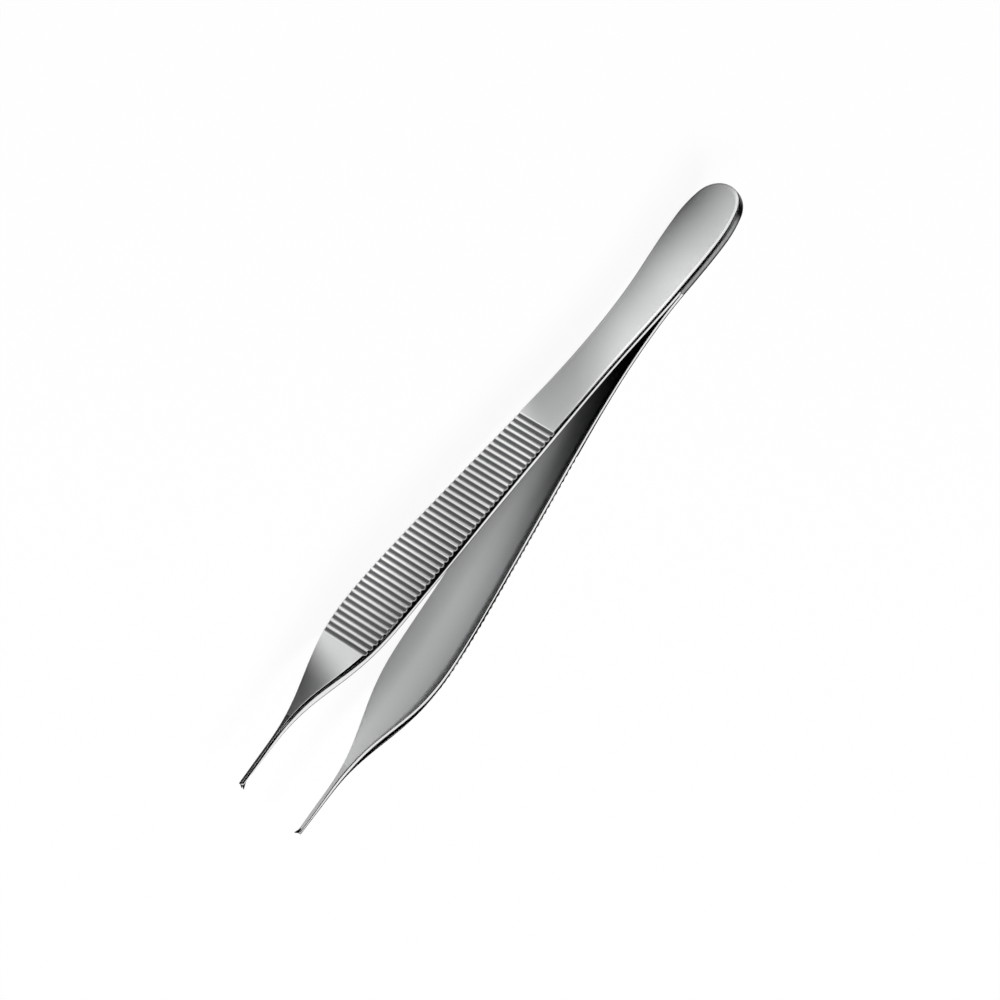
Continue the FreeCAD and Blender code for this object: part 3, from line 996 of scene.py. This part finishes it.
tree.links.new(mixed.outputs[0], tree.nodes["Material Output"].inputs["Surface"])
floor.data.materials.append(paper)
print("paper", FLOOR_SIZE, "m across")

# %% [markdown]
# The world is the white room. The camera and the steel see it at full white, and the matt
# paper gets next to nothing from it, so that the lamps decide how deep the shadow is.

# %% World
ROOM_LIGHT = 0.05

world = bpy.data.worlds.new("studio")
bpy.context.scene.world = world
world.use_nodes = True
tree = world.node_tree
room = tree.nodes["Background"]
set_inputs(tree, room, {"Color": (1, 1, 1, 1), "Strength": ROOM_LIGHT})
white = add_node(tree, "ShaderNodeBackground", {"Color": (1, 1, 1, 1), "Strength": 1.0})
rays = add_node(tree, "ShaderNodeLightPath", {})
mirrored = add_node(tree, "ShaderNodeMath", {
    0: rays.outputs["Is Glossy Ray"], 1: rays.outputs["Is Transmission Ray"]}, operation="MAXIMUM")
shown = add_node(tree, "ShaderNodeMath", {
    0: rays.outputs["Is Camera Ray"], 1: mirrored.outputs[0]}, operation="MAXIMUM")
seen = add_node(tree, "ShaderNodeMixShader", {
    0: shown.outputs[0], 1: room.outputs[0], 2: white.outputs[0]})
tree.links.new(seen.outputs[0], tree.nodes["World Output"].inputs["Surface"])
bpy.context.scene.view_settings.view_transform = "Standard"
print("room light", ROOM_LIGHT)

# %% [markdown]
# Steel in an all-white room looks like paper. A photographer hangs black cards round it, and
# leaves a white window between them. The flat sides of the leaves mirror the window, their
# bevels mirror the cards, and that gives the thin black lines beside the bright ones. The
# cards are parts of a sphere, so that each covers a plain range of directions. Only the
# steel's reflections see them.

# %% Black cards
CARD_STEPS = 16
FRONT_CARD_RADIUS, BACK_CARD_RADIUS = 3.0, 3.2

black_card, tree, shader = new_material("black card")
set_inputs(tree, shader, {
    "Base Color": linear("#0b0b0b"), "Roughness": MATT, "Specular IOR Level": 0.0})


def stage_card(name, mesh, colour):
    """Card from a finished mesh, which only the object's reflections show."""
    data = bpy.data.meshes.new(name)
    mesh.to_mesh(data)
    mesh.free()
    data.materials.append(colour)
    piece = bpy.data.objects.new(name, data)
    bpy.context.collection.objects.link(piece)
    piece.visible_camera = piece.visible_diffuse = piece.visible_shadow = False
    print(name, "of", len(data.polygons), "squares")


def sphere_card(name, radius, azimuths, elevations):
    """Black part of a sphere round the object, between two azimuths and two height angles."""
    shell = bmesh.new()
    bmesh.ops.create_grid(shell, x_segments=CARD_STEPS, y_segments=CARD_STEPS, size=1.0)
    for vertex in shell.verts:
        azimuth = math.radians(blend(*azimuths, (vertex.co.x + 1) / 2))
        elevation = math.radians(blend(*elevations, (vertex.co.y + 1) / 2))
        vertex.co = direction(azimuth, elevation) * radius
    stage_card(name, shell, black_card)


sphere_card("front card", FRONT_CARD_RADIUS, (-80, 80), (5, 126))
sphere_card("back card", BACK_CARD_RADIUS, (110, 250), (1, 27))

# %% [markdown]
# The outer face of the near leaf is a soft mirror that looks down at the paper in front of it. In
# the photograph it is darker at the head's lower edge, pale on the ribs and dark at the nose. A
# strip on the paper gives it these shades: its brightness changes along the leaf and with the
# distance from it. Its few strengths were set by comparing the render with the photograph. The strip
# follows the leaf's own curve.

# %% Graded card on the floor
CARD_HEIGHT = 0.02
CARD_REACH = 16.0
STRIP_ROWS, STRIP_COLUMNS = 8, 120
GRADES_AT = (-20, 5, 15.5, 26, 36, 44, 48, 64, 80, 92, 94, 97, 99.5, 135)
GRADES_NEAR = (0.02, 0.04, 0.24, 0.33, 0.36, 0.5, 1.0, 0.85, 1.25, 0.9, 0.9, 0.3, 0.04, 0.02)
GRADES_FAR = (0.9, 1.15, 1.55, 1.5, 0.7, 0.6, 1.2, 0.45, 0.25, 0.9, 1.35, 0.5, 0.1, 0.04)

graded_card = bpy.data.materials.new("graded card")
graded_card.use_nodes = True
tree = graded_card.node_tree
shade = add_node(tree, "ShaderNodeAttribute", {}, attribute_name="shade")
lit = add_node(tree, "ShaderNodeEmission", {"Color": (1, 1, 1, 1), "Strength": shade.outputs["Fac"]})
tree.links.new(lit.outputs[0], tree.nodes["Material Output"].inputs["Surface"])

strip = bmesh.new()
bmesh.ops.create_grid(strip, x_segments=STRIP_COLUMNS, y_segments=STRIP_ROWS, size=1.0)
shades = strip.verts.layers.float.new("shade")
for vertex in strip.verts:
    x = blend(GRADES_AT[0], GRADES_AT[-1], (vertex.co.x + 1) / 2)
    away = (vertex.co.y + 1) / 2
    near, far = np.interp(x, GRADES_AT, GRADES_NEAR), np.interp(x, GRADES_AT, GRADES_FAR)
    vertex[shades] = blend(near, far, away)
    face = outer_face(min(max(x, HEAD_WIDEST_AT), NOSE_END))
    vertex.co = place(x, -face - away * CARD_REACH, 0)
    vertex.co.z = CARD_HEIGHT * MM
stage_card("graded card", strip, graded_card)

# %% [markdown]
# The outer edges of the far leaf look out low behind the forceps, past the foot of the back
# card. A large black card lies on the paper there, so that these edges end in a dark line
# against the white.

# %% Dark card behind
BEHIND_FROM, BEHIND_TO, BEHIND_HALF_WIDTH = 50, 2500, 2000

sheet = bmesh.new()
bmesh.ops.create_grid(sheet, x_segments=1, y_segments=1, size=1.0)
for vertex in sheet.verts:
    x = blend(-BEHIND_HALF_WIDTH, BEHIND_HALF_WIDTH, vertex.co.x > 0)
    y = blend(BEHIND_FROM, BEHIND_TO, vertex.co.y > 0)
    vertex.co = Vector((x, y, CARD_HEIGHT)) * MM
stage_card("dark card behind", sheet, black_card)

# %% [markdown]
# Two soft lamps light the paper, a strong one from behind and a weaker one from the side of
# the tips. They are hidden from mirrored rays: the steel takes its light from the white room,
# and a lamp in it would show as a hot spot.

# %% Lamps
def panel(name, toward_lamp, distance, size, power):
    """Rectangular soft lamp that faces the object from a direction."""
    lamp = bpy.data.lights.new(name, "AREA")
    lamp.shape = "RECTANGLE"
    lamp.size, lamp.size_y = size
    lamp.energy = power
    stand = bpy.data.objects.new(name, lamp)
    bpy.context.collection.objects.link(stand)
    away = Vector(toward_lamp).normalized()
    stand.location = away * distance
    stand.rotation_euler = away.to_track_quat("Z", "Y").to_euler()
    stand.visible_camera = stand.visible_glossy = False
    print(name, "of", power, "watts at", distance, "m")


panel("back lamp", (0.35, 0.5, 0.8), distance=2.0, size=(1.6, 1.0), power=38)
panel("side lamp", (0.75, -0.1, 0.66), distance=1.8, size=(1.0, 0.8), power=17)
